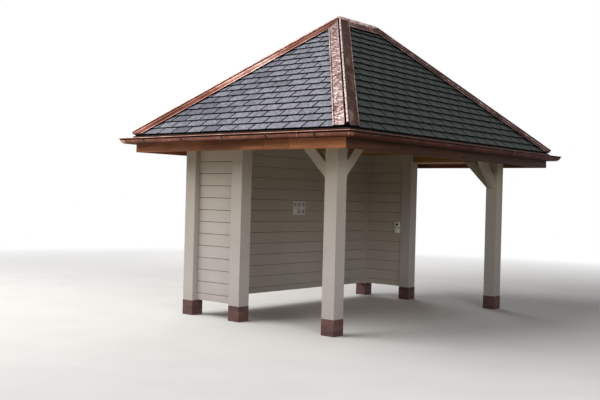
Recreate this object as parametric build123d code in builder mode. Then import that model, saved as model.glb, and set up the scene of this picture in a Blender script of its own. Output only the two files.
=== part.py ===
from build123d import *
import math
import os

# Open-fronted garden shelter with a hipped slate roof. Millimetres, +Z up.
# The origin is on the ground at the middle of the plan. The long open front faces -Y.
# Left is -X, right is +X, and the closed back wall faces +Y.

os.makedirs("parts", exist_ok=True)

# Plan, measured over the outer faces of the corner posts
frame_length = 4590.0
frame_depth = 2870.0

# Posts on brick plinths
plinth_height = 220.0
plinth_margin = 3.0
post_size = 205.0
post_height = 2260.0
post_edge = 5.0

# Walls of horizontal boards, set back from the outer faces of the posts
wing_length = 1165.0
wall_recess = 85.0
wall_thickness = 95.0
wall_foot_gap = 10.0

# Beams that carry the roof, set back so that the walls' inner boards can run up over them
beam_height = 160.0
beam_width = 112.0
lining_thickness = 18.0

# Knee braces at 45 degrees under the beams
brace_reach = 460.0
brace_depth = 142.0
brace_thickness = 89.0

# Ceiling between the beams, and boards under the eaves
ceiling_rise = 140.0
board_thickness = 18.0

# Fascia round the eaves, which hangs below the soffit and carries the roof's edge
fascia_overhang = 530.0
fascia_thickness = 38.0
fascia_drop = 75.0
fascia_height = 225.0

# Hipped roof, measured on the surface of the slates
eave_overhang = 575.0
roof_rise = 1918.0
ridge_length = 980.0
roof_depth = 80.0

# Copper caps on the hips and the ridge: raised flanges, hems down to the slates and a standing seam
cap_flange = 182.0
cap_rise = 17.0
cap_sheet = 3.0
hem_width = 9.0
seam_height = 48.0
seam_width = 24.0

# Half-round copper gutter with a rolled front edge, held off the fascia by strap hangers
gutter_radius = 76.0
gutter_sheet = 3.0
gutter_gap = 25.0
gutter_clearance = 3.0
bead_radius = 8.0
hanger_width = 25.0
hanger_sheet = 3.0
hanger_arm = 12.0
hanger_shank = 60.0
hanger_spacing = 800.0

# Places in plan that follow from the sizes above
half_x = frame_length / 2
half_y = frame_depth / 2
eave_x = half_x + eave_overhang
eave_y = half_y + eave_overhang
half_ridge = ridge_length / 2
wall_inset = wall_recess + wall_thickness
lining_inset = wall_inset - lining_thickness
beam_inset = lining_inset - beam_width
fascia_inset = fascia_overhang - fascia_thickness
hip_run = eave_x - half_ridge

# Heights that follow from the sizes above
wall_foot = plinth_height + wall_foot_gap
beam_bottom = plinth_height + post_height
fascia_bottom = beam_bottom - fascia_drop
front_pitch = roof_rise / eave_y
side_pitch = roof_rise / hip_run
eave_step = (eave_overhang - fascia_overhang) * front_pitch
eave_height = fascia_bottom + fascia_height + roof_depth - eave_step
ridge_height = eave_height + roof_rise
gutter_cover = (eave_overhang - fascia_overhang - gutter_gap) * min(front_pitch, side_pitch)
gutter_level = eave_height - roof_depth + gutter_cover - gutter_clearance
tall = ridge_height * 2

# The four sides of the plan, as a rotation of the front side about Z
SIDES = {"front": 0, "right": 90, "back": 180, "left": 270}


def ring_side(name, inner, outer):
    """Plan corners of one side of a mitred ring, between two offsets from the posts."""
    run = half_x if name in ("front", "back") else half_y
    face = half_y if name in ("front", "back") else half_x
    corners = [
        (-run - inner, -face - inner),
        (run + inner, -face - inner),
        (run + outer, -face - outer),
        (-run - outer, -face - outer),
    ]
    turned = [Vector(x, y).rotate(Axis.Z, SIDES[name]) for x, y in corners]
    return [(corner.X, corner.Y) for corner in turned]


def prism(corners, low, high):
    """Upright prism over a plan polygon."""
    with BuildPart() as block:
        with BuildSketch(Plane.XY.offset(low)):
            with BuildLine():
                Polyline(*corners, close=True)
            make_face()
        extrude(amount=high - low)
    return block.part


def share_of(volume, corners):
    """The share of a volume that stands over a plan polygon."""
    with BuildPart() as share:
        add(prism(corners, 0, tall))
        add(volume, mode=Mode.INTERSECT)
    return share.part


def roof_volume(lift, base):
    """Everything under the hipped surface that lies lift above the slates, down to base."""
    with BuildPart() as volume:
        with BuildSketch(Plane.YZ):
            with BuildLine():
                Polyline(
                    (-eave_y, base),
                    (eave_y, base),
                    (eave_y, eave_height + lift),
                    (0, ridge_height + lift),
                    (-eave_y, eave_height + lift),
                    close=True,
                )
            make_face()
        extrude(amount=eave_x, both=True)
        with BuildSketch(Plane.XZ):
            with BuildLine():
                Polyline(
                    (-eave_x, base),
                    (eave_x, base),
                    (eave_x, eave_height + lift),
                    (half_ridge, ridge_height + lift),
                    (-half_ridge, ridge_height + lift),
                    (-eave_x, eave_height + lift),
                    close=True,
                )
            make_face()
        extrude(amount=eave_y, both=True, mode=Mode.INTERSECT)
    return volume.part


def finish(part, label):
    """Label one piece and write it."""
    part.label = label
    export_step(part, f"parts/{label}.step")


# Posts and plinths, at the four corners and at the open ends of the two side walls
post_x = half_x - post_size / 2
post_y = half_y - post_size / 2
wing_y = half_y - wing_length + post_size / 2
post_places = {
    "front_left": (-post_x, -post_y),
    "front_right": (post_x, -post_y),
    "back_left": (-post_x, post_y),
    "back_right": (post_x, post_y),
    "left_wing": (-post_x, wing_y),
    "right_wing": (post_x, wing_y),
}
plinth_size = post_size + 2 * plinth_margin
for place, (x, y) in post_places.items():
    with BuildPart() as plinth:
        with BuildSketch(Plane.XY):
            with Locations((x, y)):
                Rectangle(plinth_size, plinth_size)
        extrude(amount=plinth_height)
    finish(plinth.part, f"plinth_{place}")

    with BuildPart() as post:
        with BuildSketch(Plane.XY.offset(plinth_height)):
            with Locations((x, y)):
                Rectangle(post_size, post_size)
        extrude(amount=post_height)
        fillet(post.edges().filter_by(Axis.Z), radius=post_edge)
    finish(post.part, f"post_{place}")

# Knee braces, two at each front post: one along the front and one along the side
brace_cut = brace_depth * math.sqrt(2)
front_plane = Plane.XZ.offset(post_y + brace_thickness / 2)
side_plane = Plane.YZ.offset(-post_x - brace_thickness / 2)
with BuildPart() as front_brace:
    foot = -half_x + post_size
    with BuildSketch(front_plane):
        with BuildLine():
            Polyline(
                (foot, beam_bottom - brace_reach),
                (foot + brace_reach, beam_bottom),
                (foot + brace_reach - brace_cut, beam_bottom),
                (foot, beam_bottom - brace_reach + brace_cut),
                close=True,
            )
        make_face()
    extrude(amount=-brace_thickness)
with BuildPart() as side_brace:
    foot = -half_y + post_size
    with BuildSketch(side_plane):
        with BuildLine():
            Polyline(
                (foot, beam_bottom - brace_reach),
                (foot + brace_reach, beam_bottom),
                (foot + brace_reach - brace_cut, beam_bottom),
                (foot, beam_bottom - brace_reach + brace_cut),
                close=True,
            )
        make_face()
    extrude(amount=brace_thickness)
finish(front_brace.part, "brace_left_front")
finish(side_brace.part, "brace_left_side")
finish(mirror(front_brace.part, about=Plane.YZ), "brace_right_front")
finish(mirror(side_brace.part, about=Plane.YZ), "brace_right_side")

# Walls: the whole back, and a short wing on each side next to it
back_span = frame_length - 2 * post_size
with BuildPart() as back_wall:
    with BuildSketch(Plane.XY.offset(wall_foot)):
        with Locations((0, half_y - wall_recess - wall_thickness / 2)):
            Rectangle(back_span, wall_thickness)
    extrude(amount=beam_bottom - wall_foot)
finish(back_wall.part, "back_wall")

wing_span = wing_length - 2 * post_size
wing_mid = half_y - post_size - wing_span / 2
for side, sign in (("left", -1), ("right", 1)):
    with BuildPart() as wing_wall:
        with BuildSketch(Plane.XY.offset(wall_foot)):
            with Locations((sign * (half_x - wall_recess - wall_thickness / 2), wing_mid)):
                Rectangle(wall_thickness, wing_span)
        extrude(amount=beam_bottom - wall_foot)
    finish(wing_wall.part, f"{side}_wing_wall")

# Beams: the front and back ones run through, the side ones fit between them
for side, sign in (("front", -1), ("back", 1)):
    with BuildPart() as beam:
        with BuildSketch(Plane.XY.offset(beam_bottom)):
            with Locations((0, sign * (half_y - beam_inset - beam_width / 2))):
                Rectangle(frame_length - 2 * beam_inset, beam_width)
        extrude(amount=beam_height)
    finish(beam.part, f"beam_{side}")
for side, sign in (("left", -1), ("right", 1)):
    with BuildPart() as beam:
        with BuildSketch(Plane.XY.offset(beam_bottom)):
            with Locations((sign * (half_x - beam_inset - beam_width / 2), 0)):
                Rectangle(beam_width, frame_depth - 2 * lining_inset)
        extrude(amount=beam_height)
    finish(beam.part, f"beam_{side}")

# Flat ceiling inside the beams
with BuildPart() as ceiling:
    with BuildSketch(Plane.XY.offset(beam_bottom + ceiling_rise)):
        Rectangle(frame_length - 2 * lining_inset, frame_depth - 2 * lining_inset)
    extrude(amount=board_thickness)
finish(ceiling.part, "ceiling")

# Mitred soffit boards under the eaves and fascia boards round them
under_roof = roof_volume(-roof_depth, fascia_bottom)
for side in SIDES:
    soffit = prism(ring_side(side, -beam_inset, fascia_inset), beam_bottom, beam_bottom + board_thickness)
    finish(soffit, f"soffit_{side}")
    finish(share_of(under_roof, ring_side(side, fascia_inset, fascia_overhang)), f"fascia_{side}")

# Roof slopes: two long ones and two hipped ends
slope_plans = {
    "front": [(-eave_x, -eave_y), (eave_x, -eave_y), (half_ridge, 0), (-half_ridge, 0)],
    "back": [(-eave_x, eave_y), (eave_x, eave_y), (half_ridge, 0), (-half_ridge, 0)],
    "left": [(-eave_x, -eave_y), (-half_ridge, 0), (-eave_x, eave_y)],
    "right": [(eave_x, -eave_y), (half_ridge, 0), (eave_x, eave_y)],
}
slates_top = roof_volume(0, eave_height - roof_depth)
for side, plan in slope_plans.items():
    with BuildPart() as slope:
        add(share_of(slates_top, plan))
        add(under_roof, mode=Mode.SUBTRACT)
    finish(slope.part, f"roof_{side}")

# Copper hip caps: a raised flange with a hemmed edge on each slope, and a standing seam along the hip
hip_rise = Vector(hip_run, eave_y, roof_rise)
flange_x = cap_flange / math.sin(math.atan2(math.hypot(eave_y, roof_rise), hip_run))
flange_y = cap_flange / math.sin(math.atan2(math.hypot(hip_run, roof_rise), eave_y))
hem_x = hem_width * flange_x / cap_flange
hem_y = hem_width * flange_y / cap_flange


def hip_strip(inner_x, outer_x, inner_y, outer_y):
    """Plan of the strips beside the front left hip, between two distances along each eave."""
    near_x = (-eave_x + inner_x, -eave_y)
    far_x = (-eave_x + outer_x, -eave_y)
    near_y = (-eave_x, -eave_y + inner_y)
    far_y = (-eave_x, -eave_y + outer_y)
    front = [near_x, far_x, (-half_ridge + outer_x, 0), (-half_ridge + inner_x, 0)]
    left_ends = [(-half_ridge - hip_run * y / eave_y, 0) for y in (outer_y, inner_y)]
    return front, [near_y, far_y, *left_ends]


def seam_profile():
    """Round-topped section of the standing seam, in a sketch that is open."""
    with Locations((0, (seam_height - seam_width / 2 - seam_width) / 2)):
        Rectangle(seam_width, seam_height + seam_width / 2)
    with Locations((0, seam_height - seam_width / 2)):
        Circle(seam_width / 2)


front_half = [(-eave_x, -eave_y), (eave_x, -eave_y), (eave_x, 0), (-eave_x, 0)]
cap_top = roof_volume(cap_rise + cap_sheet, 0)
cap_hollow = roof_volume(cap_rise, 0)
roof_body = roof_volume(0, 0)
hip_foot = Plane(
    origin=(-eave_x, -eave_y, eave_height),
    x_dir=(eave_y, -hip_run, 0),
    z_dir=hip_rise,
)
with BuildPart() as hip_cap:
    with BuildSketch(hip_foot.offset(-seam_width)):
        seam_profile()
    extrude(amount=hip_rise.length + 3 * seam_width)
    for plan in hip_strip(0, flange_x, 0, flange_y):
        add(share_of(cap_top, plan))
    add(cap_hollow, mode=Mode.SUBTRACT)
    for plan in hip_strip(flange_x - hem_x, flange_x, flange_y - hem_y, flange_y):
        add(share_of(cap_top, plan))
    add(prism(front_half, 0, tall), mode=Mode.INTERSECT)
    add(roof_body, mode=Mode.SUBTRACT)
hip_left = hip_cap.part
finish(hip_left, "hip_cap_front_left")
hip_right = mirror(hip_left, about=Plane.YZ)
finish(hip_right, "hip_cap_front_right")
back_left = mirror(hip_left, about=Plane.XZ)
finish(back_left, "hip_cap_back_left")
back_right = mirror(hip_right, about=Plane.XZ)
finish(back_right, "hip_cap_back_right")

# Copper ridge cap between the hip caps
ridge_flange = cap_flange * eave_y / math.hypot(eave_y, roof_rise)
ridge_hem = hem_width * ridge_flange / cap_flange


def ridge_end(y):
    """Where the flange of the ridge cap meets the flange of the right hip cap, at a distance from the ridge."""
    return half_ridge - flange_x + hip_run * y / eave_y


edge = (ridge_end(ridge_flange), ridge_flange)
hem = (ridge_end(ridge_flange - ridge_hem), ridge_flange - ridge_hem)
sheet_front = [(-ridge_end(0), 0), (ridge_end(0), 0), (edge[0], -edge[1]), (-edge[0], -edge[1])]
hem_front = [(-hem[0], -hem[1]), (hem[0], -hem[1]), (edge[0], -edge[1]), (-edge[0], -edge[1])]
with BuildPart() as ridge_front:
    add(share_of(cap_top, sheet_front))
    add(cap_hollow, mode=Mode.SUBTRACT)
    add(share_of(cap_top, hem_front))
with BuildPart() as ridge_cap:
    with BuildSketch(Plane((-half_ridge, 0, ridge_height), x_dir=(0, 1, 0), z_dir=(1, 0, 0))):
        seam_profile()
    extrude(amount=ridge_length)
    add(cap_hollow, mode=Mode.SUBTRACT)
    add(ridge_front.part)
    add(mirror(ridge_front.part, about=Plane.XZ))
    for neighbour in (roof_body, hip_left, hip_right, back_left, back_right):
        add(neighbour, mode=Mode.SUBTRACT)
finish(ridge_cap.part, "ridge_cap")

# Half-round gutters, mitred at the corners, with the strap hangers that run under them to the fascia
gutter_middle = fascia_overhang + gutter_gap + gutter_radius
gutter_reach = gutter_middle + gutter_radius + bead_radius
for side in SIDES:
    run = half_x if side in ("front", "back") else half_y
    face = half_y if side in ("front", "back") else half_x
    board = -face - fascia_overhang
    middle = -face - gutter_middle
    hangers_each_way = math.floor((run + fascia_overhang - hanger_width) / hanger_spacing)
    with BuildPart() as gutter:
        with BuildSketch(Plane.YZ):
            with Locations((middle, gutter_level)):
                Circle(gutter_radius)
                Circle(gutter_radius - gutter_sheet, mode=Mode.SUBTRACT)
            with Locations((middle, gutter_level + gutter_radius)):
                Rectangle(4 * gutter_radius, 2 * gutter_radius, mode=Mode.SUBTRACT)
            with Locations((middle - gutter_radius, gutter_level)):
                Circle(bead_radius)
        extrude(amount=run + gutter_reach, both=True)
        for step in range(-hangers_each_way, hangers_each_way + 1):
            with BuildSketch(Plane.YZ.offset(step * hanger_spacing)):
                with Locations((middle, gutter_level)):
                    Circle(gutter_radius + hanger_sheet)
                    Circle(gutter_radius, mode=Mode.SUBTRACT)
                with Locations((middle, gutter_level + gutter_radius)):
                    Rectangle(4 * gutter_radius, 2 * gutter_radius, mode=Mode.SUBTRACT)
                with Locations((board - gutter_gap / 2, gutter_level - hanger_arm / 2)):
                    Rectangle(gutter_gap, hanger_arm)
                with Locations((board - hanger_sheet / 2, gutter_level - hanger_shank / 2)):
                    Rectangle(hanger_sheet, hanger_shank)
            extrude(amount=hanger_width / 2, both=True)
    with BuildPart() as mitred_gutter:
        add(gutter.part.rotate(Axis.Z, SIDES[side]))
        add(prism(ring_side(side, fascia_overhang, gutter_reach + hanger_sheet), 0, tall), mode=Mode.INTERSECT)
    finish(mitred_gutter.part, f"gutter_{side}")
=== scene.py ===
import math
import random

import bmesh
import bpy
from mathutils import Matrix, Vector, noise


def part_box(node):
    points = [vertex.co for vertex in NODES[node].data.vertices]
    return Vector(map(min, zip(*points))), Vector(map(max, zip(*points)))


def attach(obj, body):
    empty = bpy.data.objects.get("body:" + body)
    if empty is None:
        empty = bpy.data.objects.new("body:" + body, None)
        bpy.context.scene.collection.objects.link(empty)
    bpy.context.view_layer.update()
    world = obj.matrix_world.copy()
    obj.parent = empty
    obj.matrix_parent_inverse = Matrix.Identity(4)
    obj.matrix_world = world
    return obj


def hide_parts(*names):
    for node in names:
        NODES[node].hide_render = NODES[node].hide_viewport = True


# Looks of an open-fronted garden shelter: laid slates, boarded walls, cedar eaves, copper caps and gutters.
# Metres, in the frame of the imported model: the long open front faces -Y, and left is -X.

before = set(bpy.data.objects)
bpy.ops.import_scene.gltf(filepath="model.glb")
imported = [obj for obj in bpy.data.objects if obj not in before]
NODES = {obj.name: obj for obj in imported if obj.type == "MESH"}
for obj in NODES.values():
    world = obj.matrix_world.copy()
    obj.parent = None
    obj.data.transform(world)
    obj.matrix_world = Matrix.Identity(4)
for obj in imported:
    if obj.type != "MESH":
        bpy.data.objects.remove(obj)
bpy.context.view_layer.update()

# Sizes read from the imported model
POST_LOW, POST_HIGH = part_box("post_front_left")
HALF_X = -POST_LOW.x
HALF_Y = -POST_LOW.y
POST = POST_HIGH.x - POST_LOW.x
BEAM_BOTTOM = POST_HIGH.z
CEILING_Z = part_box("ceiling")[0].z
ROOF_LOW, ROOF_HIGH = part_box("roof_left")
EAVE_X = -ROOF_LOW.x
EAVE_Y = ROOF_HIGH.y
HALF_RIDGE = -ROOF_HIGH.x
RIDGE_Z = ROOF_HIGH.z
EAVE_Z = max(v.co.z for v in NODES["roof_left"].data.vertices if v.co.x < 0.001 - EAVE_X)
FASCIA_LOW, FASCIA_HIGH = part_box("fascia_left")
FASCIA_OUT = -FASCIA_LOW.x - HALF_X
FASCIA_THICKNESS = FASCIA_HIGH.x - FASCIA_LOW.x
GUTTER_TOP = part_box("gutter_left")[1].z

# Wall boards. The two lines are heights of a joint between the outer boards, and between the inner ones
BOARD_EXPOSURE = 0.1778
BOARD_GAP = 0.0065
INNER_GAP = 0.0045
BOARD_THICKNESS = 0.018
BOARD_SHADOW = 0.010
SHORTEST_BOARD = 0.02
OUTER_LINE = 0.3326
INNER_LINE = 0.3228

# Slates: how they lie, how uneven they are, and the painted shade that darkens them towards the back on the
# left slope
SLATE_EXPOSURE = 0.157
SLATE_WIDTH = 0.3025
SLATE_THICKNESS = 0.019
SLATE_GAP = 0.020
SLATE_EASE = 0.003
SLATE_HEADLAP = 0.010
SLATE_PROUD = 0.002
SLATE_STEP = 0.144
SLATE_START = 0.0775
SLATE_CUT = 0.05
SHORTEST_SLATE = 0.03
COURSE_DRIFT = 0.004
SLATE_DRIFT = 0.007
SLATE_RAGGED = 0.003
SLATE_CHIP = 0.004
SLATE_LIFT = 0.0015
SLATE_TONE, SLATE_SPREAD = 0.45, 0.16
SLATE_DEEPEST_SHADE = -0.35
LEFT_SLOPE_SHADE = 0.75
SHADE_START, SHADE_LENGTH = 0.33, 0.8
DECK_SUNK = 2.3 * SLATE_THICKNESS
DECK_INSET = 0.012

# Bricks
BRICK_HEIGHT = 0.060
BRICK_SLIP = 0.0008
MORTAR = 0.008
MORTAR_RECESS = 0.003

# Copper caps: distances from the hip across the flange, heights above the slates
CAP_FLANGE = 0.182
CAP_LEVEL = 0.014
CAP_TOP = [(0.006, 0.011), (0.022, 0.011), (0.0245, 0.013), (0.0255, 0.022), (0.028, 0.025), (0.0305, 0.022),
           (0.032, 0.016), *((0.036 + 0.011 * k, CAP_LEVEL) for k in range(11)), (0.154, 0.013),
           (0.160, 0.0135), (0.164, 0.017), (0.169, 0.020), (0.174, 0.0205), (0.179, 0.018), (0.182, 0.012),
           (0.182, 0.003)]
CAP_UNDER = [(0.179, 0.003), (0.178, 0.011), (0.172, 0.016), (0.165, 0.012), (0.154, 0.009), (0.100, 0.009),
             (0.036, 0.009), (0.006, 0.007)]
SEAM_SECTION = [(-0.0125, -0.004), (-0.0125, 0.025), (-0.0125, 0.036), (-0.0115, 0.040), (-0.008, 0.0435),
                (-0.004, 0.0448), (0.004, 0.0448), (0.008, 0.0435), (0.0115, 0.040), (0.0125, 0.036),
                (0.0125, 0.025), (0.0125, -0.004)]
SEAM_START = 0.015
SEAM_STATION = 0.06
SEAM_SWAY = 0.0009
CAP_STATION = 0.02
CAP_LAP = 2.44
CAP_LAP_STEP = 0.0012
CAP_CORNER = 0.014
CAP_FOOT, CAP_FOOT_RISE = 0.012, 0.003
CAP_FOLD = (0.024, 0.034)
CAP_FOLD_LOSS = 0.6
CAP_DRESSED = (0.034, 0.158)
CAP_GROOVE = (0.150, 0.161)
CAP_RIM = 0.160
BROAD_CREASE, FINE_CREASE = 0.0022, 0.0016

# Tones of each cap: its flanges on the long slope and on the end slope, and its seam; the higher, the
# browner.
# The front flanges' dark tones and the front-right cap's tones are painted shade, the front-left seam's pale
# tone a painted highlight. The lengthwise table is how much browner a cap is along its length, from foot to
# head
CAP_TONES_AND_SHADE = {"front_left": (0.88, 0.46, 0.04), "back_left": (0.60, 0.56, 0.14),
             "front_right": (0.88, 0.58, 0.52), "back_right": (0.55, 0.50, 0.08)}
CAP_LENGTHWISE_TONES = {"back_left": [(0.0, 0.22), (0.33, 0.27), (0.48, 0.0), (0.62, -0.26), (0.76, 0.0), (1.0, 0.12)]}
CAP_DRIFT = 0.22
# The ridge cap's darker front half is painted shade
RIDGE_TONES_AND_SHADE = {"front": 0.80, "back": 0.5}
RIDGE_SEAM_TONE = 0.45

# Gutters. Their laps and mitre seams are at shares of half a gutter's length, from its middle
GUTTER_RADIUS = 0.076
GUTTER_GAP = 0.025
GUTTER_SHEET = 0.002
BEAD_RADIUS = 0.0062
BEAD_OUT = 0.006
BEAD_RISE = 0.001
GUTTER_STATION = 0.09
GUTTER_SAG, GUTTER_DENT, LAP_SWELL = 0.0022, 0.0016, 0.0012
GUTTER_SEAM = 0.996
GUTTER_LAP = {"front": 0.42, "right": -0.35, "back": -0.5, "left": 0.62}
LAP_HALF, LAP_EDGE, LAP_CLEAR = 0.006, 0.005, 0.02
TROUGH_STEPS, BEAD_STEPS = 14, 9
# Each gutter's tone, the higher the browner; the front gutter's dark tone is painted shade
GUTTER_TONES_AND_SHADE = {"front": 0.82, "right": 0.55, "back": 0.5, "left": 0.41}
GUTTER_LEVEL = GUTTER_TOP - 0.008
GUTTER_MIDDLE = FASCIA_OUT + GUTTER_GAP + GUTTER_RADIUS

# Strap hangers, with heights below the gutter's level. A screw's rings are (distance out, radius)
HANGER_SPACING = 0.8
HANGER_WIDTH = 0.030
HANGER_SHEET = 0.003
HANGER_SHANK = 0.060
HANGER_ARM = (0.012, 0.007)
STRAP_GAP = 0.0004
SCREW_DROPS = (0.025, 0.048)
SCREW_RINGS = ((0.0, 0.0045), (0.0015, 0.0045), (0.0030, 0.0028))

# Eaves and ceiling. The fascias' joints are distances along each side, with a tone for each board; the front
# boards' tones below zero are painted shade
FASCIA_JOINTS = {"front": [-0.047], "right": [0.35], "back": [0.4], "left": [0.62, 1.047]}
FASCIA_TONES_AND_SHADE = {"front": [-0.9, -1.0], "right": [0.25, 0.12], "back": [0.2, 0.4], "left": [0.34, 0.50, 0.95]}
FASCIA_HEADROOM = 0.032
BUTT_GAP = 0.0012
BOARD_EASE = 0.0025
SOFFIT_ROWS = 4
SOFFIT_INNER = -0.05
DRIP_OUT = EAVE_X - HALF_X - 0.007
DRIP_SHEET = 0.0015
DRIP_LOW, DRIP_HIGH = GUTTER_LEVEL - 0.004, EAVE_Z - 0.025
CEILING_BOARD = 0.1397
CEILING_GAP = 0.0008

# Things fixed to the inner walls. A notice's patch is at shares of its pitch, clear of the wall
NOTICE_LEFT, NOTICE_RIGHT = -0.022, 0.309
NOTICE_LOW, NOTICE_HIGH = 1.496, 1.732
NOTICE_COLUMNS, NOTICE_ROWS = 3, 2
NOTICE_SHEET = 0.002
PATCH_X, PATCH_Z = (0.15, 0.75), (0.18, 0.76)
PATCH_FACE, PATCH_BACK = 0.0028, 0.0015
OUTLET_Y = (0.485, 0.590)
OUTLET_Z = ((1.302, 1.393), (1.196, 1.288))
OUTLET_DEPTH = 0.045
OUTLET_RADII = (0.024, 0.032)
OUTLET_DISC = ((-0.002, 1.0), (0.004, 1.0), (0.010, 0.8), (0.012, 0.3))

# The photograph's viewpoint
CAMERA_PLACE = (-11.0909, -8.2316, 1.7815)
CAMERA_YAW = math.radians(40.1326)
CAMERA_PITCH = math.radians(-0.1158)
CAMERA_ROLL = math.radians(1.4954)
CAMERA_LENS = 51.708
SENSOR_WIDTH = 36.0

# The studio: each lamp's place, aim, size, power and colour, and where the floor fades into white
LAMPS = {"key": ((-8.0, 6.5, 10.5), (0, 0, 1.8), 14.0, 2600, (1.0, 0.985, 0.965)),
         "fill": ((-6.5, -10.0, 5.2), (-0.5, -0.5, 1.4), 4.0, 370, (1.0, 0.99, 0.98)),
         "back": ((9.0, 9.0, 6.0), (0, 0, 1.8), 6.0, 500, (1.0, 0.99, 0.98))}
WORLD_LIGHT = 0.12
WORLD_COLOUR = (0.95, 0.97, 1.0, 1)
FLOOR_HALF = 90.0
FLOOR_FADE = (7.0, 16.0)

SIDES = {"front": 0, "right": 90, "back": 180, "left": 270}
# The tone of faces painted dark as shade: slates' edges, walls' cores, and under copper hems, seams and
# beads
SHADE_TONE = -1.0


def linear(colour):
    """A colour given as 0 to 255 on screen, as the linear colour that a shader takes."""
    values = [c / 255 for c in colour]
    return [c / 12.92 if c < 0.04045 else ((c + 0.055) / 1.055) ** 2.4 for c in values] + [1.0]


# Materials


class Graph:
    """A material or world in the making, with one method for each kind of node that it needs."""

    def __init__(self, name, kind=bpy.data.materials):
        self.owner = kind.new(name)
        self.owner.use_nodes = True
        self.tree = self.owner.node_tree
        self.tree.nodes.clear()

    def node(self, kind, inputs, **settings):
        """A shader node with its settings, and with each input set to a value or joined to an output."""
        made = self.tree.nodes.new("ShaderNode" + kind)
        for key, value in settings.items():
            setattr(made, key, value)
        for key, value in inputs.items():
            if isinstance(value, bpy.types.NodeSocket):
                self.tree.links.new(value, made.inputs[key])
            else:
                made.inputs[key].default_value = value
        return made

    def place(self, stretch=(1, 1, 1)):
        """The point in the object's own frame, stretched along each axis."""
        coordinates = self.node("TexCoord", {}).outputs["Object"]
        return self.node("Mapping", {"Vector": coordinates, "Scale": stretch}).outputs["Vector"]

    def axis(self, name):
        """One coordinate of the point, in metres."""
        return self.node("SeparateXYZ", {"Vector": self.place()}).outputs[name]

    def with_grain(self, axis, along, across):
        """The point, stretched one way along the grain's axis and another across it."""
        return self.place([along if name == axis else across for name in "XYZ"])

    def noise(self, scale, detail=4.0, roughness=0.55, distortion=0.0, place=None):
        inputs = {"Vector": place or self.place(), "Scale": scale, "Detail": detail,
                  "Roughness": roughness, "Distortion": distortion}
        return self.node("TexNoise", inputs).outputs["Fac"]

    def cells(self, place, scale):
        return self.node("TexVoronoi", {"Vector": place, "Scale": scale}).outputs["Distance"]

    def tone(self):
        """The tone that each face of the mesh carries."""
        return self.node("Attribute", {}, attribute_name="tone").outputs["Fac"]

    def edge_shade(self, body, dark):
        """The colour, painted dark as shade on the faces that carry the shade tone."""
        return self.mix(self.map(self.tone(), -0.6, -0.4, 1.0, 0.0), body, dark)

    def map(self, value, low, high, to_low=0.0, to_high=1.0):
        inputs = {"Value": value, "From Min": low, "From Max": high, "To Min": to_low, "To Max": to_high}
        return self.node("MapRange", inputs).outputs["Result"]

    def math(self, operation, first, second):
        return self.node("Math", {0: first, 1: second}, operation=operation).outputs[0]

    def mix(self, share, *colours):
        """A mix of two colours, each an output of a node or a colour on screen."""
        first, second = [linear(c) if isinstance(c, tuple) else c for c in colours]
        return self.node("Mix", {0: share, 6: first, 7: second}, data_type="RGBA").outputs[2]

    def ramp(self, value, stops):
        """Colours along a value, each as (position, colour on screen)."""
        made = self.node("ValToRGB", {"Fac": value})
        elements = made.color_ramp.elements
        while len(elements) < len(stops):
            elements.new(0.5)
        for element, (position, colour) in zip(elements, stops):
            element.position = position
            element.color = linear(colour)
        return made.outputs["Color"]

    def relief(self, *bumps):
        """Bumps on each other, each as (height, distance, strength)."""
        inputs = {}
        for height, distance, strength in bumps:
            inputs |= {"Height": height, "Distance": distance, "Strength": strength}
            inputs["Normal"] = self.node("Bump", inputs).outputs["Normal"]
        return inputs["Normal"]

    def surface(self, body, rough, normal, gloss=0.5, metallic=0.0, tint=(1, 1, 1, 1)):
        """The finished surface."""
        inputs = {"Base Color": body, "Roughness": rough, "Normal": normal, "Specular IOR Level": gloss,
                  "Metallic": metallic, "Specular Tint": tint}
        shader = self.node("BsdfPrincipled", inputs).outputs["BSDF"]
        self.node("OutputMaterial", {"Surface": shader})
        return self.owner


def painted(name, grain_along, low_stop, high_stop, eave_shade, eave_shade_from, eave_shade_to):
    """Warm grey paint on wood: brush marks along one axis, darker and yellower towards the top as painted
    shade under the eaves, splashed at the foot.
    """
    g = Graph(name)
    grain = g.noise(4.0, detail=6.0, roughness=0.6, place=g.with_grain(grain_along, 1.2, 22.0))
    clouds = g.noise(1.7, detail=3.0)
    spots = g.noise(38.0, detail=2.0)
    body = g.ramp(clouds, [(0.3, low_stop), (0.7, high_stop)])
    # Painted shade under the eaves: darker and yellower between two heights
    body = g.mix(g.map(g.axis("Z"), eave_shade_from, eave_shade_to, 0.0, 0.85), body, eave_shade)
    body = g.mix(g.map(grain, 0.35, 0.7, 0.0, 0.10), body, (150, 140, 130))
    body = g.mix(g.map(g.tone(), 0.0, 1.0, 0.0, 0.10), body, (200, 195, 188))
    foot = g.map(g.axis("Z"), 0.22, 0.50, 0.22, 0.0)
    body = g.mix(g.math("MULTIPLY", foot, g.map(spots, 0.4, 0.62)), body, (140, 126, 112))
    # Painted shade on faces with the shade tone: the walls' cores in the gaps between boards
    body = g.edge_shade(body, (52, 44, 38))
    rough = g.map(clouds, 0.3, 0.7, 0.48, 0.62)
    return g.surface(body, rough, g.relief((grain, 0.0012, 0.6), (spots, 0.0006, 0.3)), 0.15)


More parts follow.
